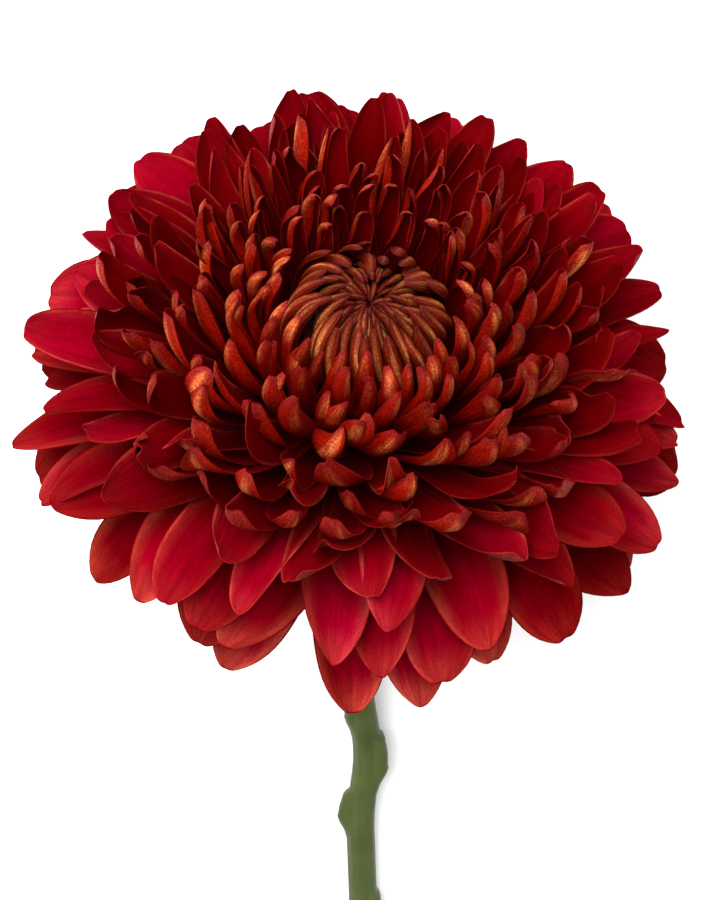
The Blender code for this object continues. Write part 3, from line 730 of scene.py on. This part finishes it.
def petalPiece(name, florets, columns, rows, materials, node):
    bm = bmesh.new()
    bm.verts.layers.float_vector.new("place")
    bm.verts.layers.float.new("age")
    for floret in florets:
        addPetal(bm, floret, columns, rows)
    bmesh.ops.reverse_faces(bm, faces=bm.faces[:])
    wall = thicken(newPiece(name, bm, materials, node), thickness)
    # the second material is the reverse, the third the rim
    wall.material_offset = 1
    wall.material_offset_rim = 2
    print(name, len(florets), "florets")


rays = {"outer": 70, "outerAge": 0.3125, "inner": 185, "seed": 11, "extraSeed": 23, "columns": 6, "rows": 12}
# young florets that fill in between the others, which only the fine model has
tucked = {"count": 72, "youngest": 1.0, "oldest": 0.42, "seed": 31, "extraSeed": 37, "width": 0.85, "stretch": 0.97}
heart = {"count": 116, "seed": 5, "extraSeed": 8, "agePower": 0.8, "columns": 4, "rows": 12}


def growRays():
    draw, extra = random.Random(rays["seed"]), random.Random(rays["extraSeed"])
    florets = []
    for index in range(rays["outer"] + rays["inner"]):
        age = rays["outerAge"] * index / rays["outer"]
        if index >= rays["outer"]:
            age = rays["outerAge"] + (1 - rays["outerAge"]) * (index - rays["outer"]) / (rays["inner"] - 1)
        azimuth = index * goldenAngle + math.radians(draw.uniform(-3, 3))
        florets.append(newFloret(rayShapes, age, azimuth, draw, extra, False))
    return florets


def growTucked():
    draw, extra = random.Random(tucked["seed"]), random.Random(tucked["extraSeed"])
    florets = []
    for index in range(tucked["count"]):
        age = tucked["oldest"] + (tucked["youngest"] - tucked["oldest"]) * index / (tucked["count"] - 1)
        azimuth = (index + 0.5) * goldenAngle + math.radians(draw.uniform(-6, 6))
        floret = newFloret(rayShapes, age, azimuth, draw, extra, False)
        floret.width *= tucked["width"]
        floret.stretch *= tucked["stretch"]
        drawSpine(floret)
        lieOnSurface(floret)
        florets.append(floret)
    return florets


def growHeart():
    draw, extra = random.Random(heart["seed"]), random.Random(heart["extraSeed"])
    florets = []
    for index in range(heart["count"]):
        age = (index / (heart["count"] - 1)) ** heart["agePower"]
        azimuth = index * goldenAngle + math.radians(draw.uniform(-3, 3))
        florets.append(newFloret(heartShapes, age, azimuth, draw, extra, True))
    return florets


rayFlorets = growRays()
rayPieces = {
    "outerRayFlorets": rayFlorets[:85], "middleRayFlorets": rayFlorets[85:170], "innerRayFlorets": rayFlorets[170:],
    "tuckedRayFlorets": growTucked(),
}
for name, florets in rayPieces.items():
    petalPiece(name, florets, rays["columns"], rays["rows"], rayMaterials, "ray_florets")
petalPiece(
    "heartFlorets", growHeart(), heart["columns"], heart["rows"], heartMaterials, "heart_florets"
)


# the crowded bases inside the bloom, painted dark as the shade deep among the florets

def plainMaterial(name, colour, roughness):
    material, _, shader = newMaterial(name)
    setInputs(shader, {"Base Color": (*colour, 1), "Roughness": roughness, "Specular IOR Level": 0.2})
    return material


def fleckedMaterial(name, stops, size, roughness):
    # a ramp over broad flecks, with finer ones as grain
    material = plainMaterial(name, stops[0][1], roughness)
    tree = material.node_tree
    shader = tree.nodes["Principled BSDF"]
    place = addNode(tree, "ShaderNodeTexCoord").outputs["Object"]
    colour = rampNode(tree, fleckNode(tree, place, size), stops)
    fine = fleckNode(tree, place, size * 6)
    colour = mixNode(tree, rangeNode(tree, fine, 0.35, 0.65, 0.0, 0.5), colour, stops[0][1])
    tree.links.new(colour, shader.inputs["Base Color"])
    addBump(tree, shader, fine, 0.4, 0.0002)
    return material


def turnedPiece(name, turned, materials, node):
    bm = bmesh.new()
    corners = [bm.verts.new((radius, 0, height)) for radius, height in turned["profile"]]
    edges = [bm.edges.new(pair) for pair in zip(corners, corners[1:])]
    bmesh.ops.spin(
        bm, geom=corners + edges, cent=(0, 0, 0), axis=(0, 0, 1), steps=turned["steps"], angle=2 * math.pi,
        use_merge=True,
    )
    bmesh.ops.remove_doubles(bm, verts=bm.verts[:], dist=0.001)
    count, depth = turned["ripple"]
    for vert in bm.verts:
        # ridges round it, like the backs of crowded florets
        radius = math.hypot(vert.co.x, vert.co.y)
        share = 1 + depth * (math.cos(count * math.atan2(vert.co.y, vert.co.x)) - 1) * smooth(radius / 6)
        vert.co = inPlace(Vector((vert.co.x * share, vert.co.y * share, vert.co.z))) * mm
    bmesh.ops.recalc_face_normals(bm, faces=bm.faces[:])
    newPiece(name, bm, materials, node)


rayBed = {"steps": 48, "ripple": (24, 0.0), "profile": (
    (0.0, -17.6), (12.0, -17.5), (15.0, -15.6), (15.5, -10.0), (15.0, -4.0), (14.0, 0.5), (12.4, -0.2), (8.4, -2.8),
    (0.0, -3.2),
)}
heartBed = {"steps": 126, "ripple": (21, 0.05), "profile": (
    (0.0, -2.6), (6.6, -2.2), (9.5, 0.6), (11.6, 4.6), (12.4, 11.0), (11.4, 16.0), (8.0, 19.0), (4.0, 20.4),
    (0.0, 20.6),
)}
# near-black reds: painted shade, so that the bases read as further florets in shadow
bedShadeReds = ((0.3, (0.018, 0.0003, 0.0002)), (0.55, (0.050, 0.001, 0.0005)), (0.8, (0.100, 0.004, 0.001)))
bedMaterial = fleckedMaterial("shadedFloretBases", bedShadeReds, 260.0, 0.8)
turnedPiece("rayFloretBed", rayBed, [bedMaterial], "ray_florets")
turnedPiece("heartFloretBed", heartBed, [bedMaterial], "heart_florets")
print("floret beds made")


# stem with its leaf scars, cup and bracts

stem = {
    "radius": 3.0, "top": -28.0, "leave": 28.0, "arrive": Vector((3.0, 58.0, 0.0)), "tail": 12.0, "steps": 200,
    "end": Vector((0.0, -84.2, 3.0 * math.cos(math.pi / 10))),
    "zigzag": ((50.0, 0.0), (62.0, 0.3), (74.0, 1.6), (88.0, -0.7), (100.0, -0.2), (112.0, 0.5), (122.0, 0.0)),
    # distance from the bloom, side in degrees, length of the face, length of the buttress, rise
    "scars": (
        (62.5, 285, 3.0, 5.0, 0.9), (70.5, 78, 7.0, 6.0, 1.7), (83.5, 296, 5.0, 5.0, 1.9), (106.5, 84, 6.0, 7.0, 1.6),
    ),
    "sides": 56, "rings": 240, "lowest": 0.05,
    # the bark of the cut end is bevelled in, the pith stands up a little, and its mark is a distance for the colour
    "bark": (0.35, -0.12), "pithRim": (0.9, 0.05), "pithMark": 500.0,
}


def stemRoute():
    start = inPlace(Vector((0, 0, stem["top"])))
    first = start + bloomTurn @ Vector((0, 0, -stem["leave"]))
    second = stem["end"] + stem["arrive"]
    route = [(0.0, start)]
    for step in range(1, stem["steps"] + 1):
        point = bezierPoint(start, first, second, stem["end"], step / stem["steps"])
        before = route[-1]
        route.append((before[0] + (point - before[1]).length, point))
    route.append((route[-1][0] + stem["tail"], stem["end"] - stem["arrive"].normalized() * stem["tail"]))
    return route


def zigzagAt(distance):
    # a soft line through the same turns
    return sum(between(stem["zigzag"], distance + shift) for shift in (-4, -2, 0, 2, 4)) / 5


def scarAt(distance, angle):
    # how far the cut leaf base stands out, how much of a place is cut face, and how far down that face it is
    rise = face = low = 0.0
    for start, side, length, buttress, height in stem["scars"]:
        below = start + length
        profile = (
            (start - 1.0, 0.0), (start, 0.62), (start + 0.5 * length, 0.90), (below, 1.0),
            (below + 0.2 * buttress, 0.82), (below + 0.6 * buttress, 0.26), (below + buttress, 0.0),
        )
        along = between(profile, distance)
        off = (angle - math.radians(side) + math.pi) % (2 * math.pi) - math.pi
        facing = math.cos(off)
        lift = height * along * smooth(max(0.0, (facing - 0.2) / 0.8) * 1.3)
        flat = (stem["radius"] + height * along * 0.9) / max(0.5, facing) - stem["radius"]
        here = smooth((distance - start + 0.2) / 0.8) * smooth((below - distance) / 0.7)
        here *= smooth((0.8 - abs(off)) / 0.25)
        rise += min(lift, max(0.0, flat)) - 0.45 * here * math.exp(-((off / 0.4) ** 2))
        face = max(face, here)
        low = max(low, here * smooth((distance - start) / length * 1.6 - 0.45))
    return rise, face, low


def stemPiece():
    route = stemRoute()
    length = route[-1][0]
    bm = bmesh.new()
    scar = bm.verts.layers.float_vector.new("scar")
    made = bmesh.ops.create_grid(bm, x_segments=stem["sides"], y_segments=stem["rings"], size=1.0)["verts"]
    for vert in made:
        distance = (vert.co.y + 1) / 2 * length
        angle = (vert.co.x + 1) * math.pi
        point = between(route, distance)
        ahead = between(route, distance + 0.8) - between(route, distance - 0.8)
        upward = Vector((1, 0, 0)).cross(ahead).normalized()
        across = ahead.normalized().cross(upward)
        rise, face, low = scarAt(distance, angle)
        ridges = 0.05 * math.cos(5 * angle + 0.02 * distance) + 0.03 * math.cos(11 * angle + 1.0)
        radius = stem["radius"] - 0.05 + ridges + rise
        point = point + across * zigzagAt(distance) + (across * math.sin(angle) + upward * math.cos(angle)) * radius
        point.z = max(point.z, stem["lowest"])
        vert.co = point * mm
        vert[scar] = (face, low, distance)
    bmesh.ops.remove_doubles(bm, verts=bm.verts[:], dist=0.00001)
    bmesh.ops.holes_fill(bm, edges=[edge for edge in bm.edges if edge.is_boundary], sides=0)
    cut = min((face for face in bm.faces if len(face.verts) > 4), key=lambda face: face.calc_center_median().y)
    for width, depth in (stem["bark"], stem["pithRim"]):
        bmesh.ops.inset_individual(bm, faces=[cut], thickness=width * mm, depth=depth * mm)
    for vert in cut.verts:
        vert[scar] = (0.0, 0.0, stem["pithMark"])
    bmesh.ops.recalc_face_normals(bm, faces=bm.faces[:])
    newPiece("stemTube", bm, [stemMaterial()], "stem")


def stemMaterial():
    material, tree, shader = newMaterial("stemGreen")
    face, low, distance = attributeNode(tree, "scar")[1]
    place = addNode(tree, "ShaderNodeTexCoord").outputs["Object"]
    # fibres run along the stem
    stretch = addNode(tree, "ShaderNodeMapping", vector_type="POINT", Scale=(900, 90, 900))
    tree.links.new(place, stretch.inputs["Vector"])
    fibre = addNode(tree, "ShaderNodeTexNoise", Scale=1.0, Detail=4.0, Roughness=0.6)
    tree.links.new(stretch.outputs[0], fibre.inputs["Vector"])
    blotch = fleckNode(tree, place, 140.0)
    greens = ((0.3, (0.0285, 0.0435, 0.0045)), (0.55, (0.0445, 0.0615, 0.0085)), (0.8, (0.062, 0.080, 0.0165)))
    colour = rampNode(tree, blotch, greens)
    streak = rangeNode(tree, fibre.outputs["Fac"], 0.35, 0.7, 0.0, 0.35)
    colour = mixNode(tree, streak, colour, (0.066, 0.090, 0.020))
    # darker away from the bloom
    colour = mixNode(tree, rangeNode(tree, distance, 60.0, 150.0, 0.0, 0.4), colour, (0.0245, 0.039, 0.005))
    cutFace = mixNode(tree, low, (0.018, 0.016, 0.006), (0.090, 0.105, 0.005))
    cutFace = mixNode(tree, rangeNode(tree, blotch, 0.4, 0.7, 0.0, 0.5), cutFace, (0.068, 0.040, 0.024))
    colour = mixNode(tree, rangeNode(tree, face, 0.2, 0.95), colour, cutFace)
    # the cut end shows its pale pith
    pith = rangeNode(tree, distance, stem["pithMark"] - 50, stem["pithMark"] - 5)
    colour = mixNode(tree, pith, colour, (0.26, 0.30, 0.13))
    tree.links.new(colour, shader.inputs["Base Color"])
    addBump(tree, shader, fibre.outputs["Fac"], 0.3, 0.0002)
    setInputs(shader, {
        "Roughness": 0.55, "Specular IOR Level": 0.25, "Sheen Weight": 0.08, "Sheen Tint": (0.75, 0.85, 0.95, 1),
    })
    return material


cup = {"steps": 64, "ripple": (13, 0.01), "profile": (
    (0.0, -30.2), (2.6, -30.2), (2.9, -28.5), (3.3, -26.8), (4.2, -24.9), (5.6, -23.3), (7.4, -21.9), (9.4, -20.6),
    (10.8, -19.5), (11.5, -18.6), (11.2, -18.0), (0.0, -17.95),
)}
bracts = {
    # number, root radius, root height, tip radius, tip height, first angle, width
    "rows": (
        (13, 8.0, -21.0, 17.5, -18.6, 0.0, 4.0), (12, 5.4, -23.2, 13.6, -20.6, 14.0, 3.8),
        (9, 4.2, -25.2, 9.0, -22.6, 5.0, 2.8),
    ),
    "seed": 3, "thickness": 0.4, "columns": 4, "lengthwise": 7, "bow": 0.5, "fold": 0.35,
}


def bractPiece(material):
    draw = random.Random(bracts["seed"])
    bm = bmesh.new()
    place = bm.verts.layers.float_vector.new("place")
    for number, rootR, rootZ, tipR, tipZ, first, width in bracts["rows"]:
        for index in range(number):
            angle = math.radians(first + draw.uniform(-4, 4)) + 2 * math.pi * index / number
            outward, aside = directions(angle)
            reach, tint = draw.uniform(0.9, 1.05), draw.random()
            made = bmesh.ops.create_grid(
                bm, x_segments=bracts["columns"], y_segments=bracts["lengthwise"], size=1.0
            )["verts"]
            for vert in made:
                across, along = vert.co.x, (vert.co.y + 1) / 2
                half = width / 2 * (0.75 + 0.45 * smooth(along / 0.35)) * max(0.04, 1 - along**2.4) ** 0.8
                share = -0.15 + 1.15 * along * reach
                point = outward * (rootR + (tipR - rootR) * share) + aside * across * half
                height = rootZ + (tipZ - rootZ) * share
                point.z = height - bracts["bow"] * math.sin(math.pi * along) + bracts["fold"] * across**2
                vert.co = inPlace(point) * mm
                vert[place] = (across, along, tint)
    bmesh.ops.reverse_faces(bm, faces=bm.faces[:])
    thicken(newPiece("cupBracts", bm, [material], "stem"), bracts["thickness"])


def bractMaterial():
    material, tree, shader = newMaterial("bractGreen")
    place, (across, along, _) = attributeNode(tree, "place")
    grain = grainNode(tree, place, 9.0, 11.0)
    greens = ((0.0, (0.085, 0.125, 0.034)), (0.6, (0.058, 0.090, 0.020)), (1.0, (0.095, 0.070, 0.030)))
    colour = rampNode(tree, along, greens)
    margin = rangeNode(tree, mathNode(tree, "ABSOLUTE", across), 0.6, 0.95, 0.0, 0.7)
    colour = mixNode(tree, margin, colour, (0.205, 0.160, 0.085))
    colour = mixNode(tree, product(tree, grain.outputs["Streak"], 0.35), colour, (0.050, 0.075, 0.018))
    tree.links.new(colour, shader.inputs["Base Color"])
    addBump(tree, shader, grain.outputs["Vein"], 0.35, 0.0002)
    setInputs(shader, {"Roughness": 0.6, "Specular IOR Level": 0.25})
    return material


stemPiece()
cupGreen = ((0.3, (0.038, 0.058, 0.011)), (0.55, (0.062, 0.088, 0.022)), (0.8, (0.090, 0.115, 0.036)))
turnedPiece("bloomCup", cup, [fleckedMaterial("cupGreen", cupGreen, 220.0, 0.6)], "stem")
bractPiece(bractMaterial())
print("stem, cup and bracts made")


# floor, light and camera

studio = {
    "floor": (0.94, 0.94, 0.94), "floorSize": 2, "world": 0.85,
    "keyEnergy": 19.4, "keySize": 0.85, "keyPlace": Vector((-0.22, 0.46, 0.72)), "keyAim": Vector((0, 0.03, 0.04)),
    "lens": 100, "tilt": 15, "distance": 453.0, "drop": 12.9, "shift": 0.5,
}


def studioSet():
    bm = bmesh.new()
    bmesh.ops.create_grid(bm, x_segments=1, y_segments=1, size=studio["floorSize"])
    floor = newMeshObject("floor", bm, [plainMaterial("paleFloor", studio["floor"], 0.8)])
    world = bpy.data.worlds.new("softStudio")
    world.use_nodes = True
    setInputs(world.node_tree.nodes["Background"], {"Color": (1, 1, 1, 1), "Strength": studio["world"]})
    bpy.context.scene.world = world
    light = bpy.data.lights.new("keyLight", "AREA")
    light.energy = studio["keyEnergy"]
    light.size = studio["keySize"]
    key = newObject("keyLight", light)
    key.location = studio["keyPlace"]
    key.rotation_euler = (studio["keyPlace"] - studio["keyAim"]).to_track_quat("Z", "Y").to_euler()
    tilt = math.radians(studio["tilt"])
    toward = Vector((0, math.sin(tilt), math.cos(tilt)))
    up = Vector((0, math.cos(tilt), -math.sin(tilt)))
    camera = newObject("camera", bpy.data.cameras.new("camera"))
    camera.data.lens = studio["lens"]
    place = bloom["centre"] + toward * studio["distance"] - up * studio["drop"] + Vector((studio["shift"], 0, 0))
    camera.location = place * mm
    camera.rotation_euler = (-tilt, 0, 0)
    bpy.context.scene.camera = camera
    bpy.context.scene.view_settings.view_transform = "Standard"


studioSet()
print("studio set")
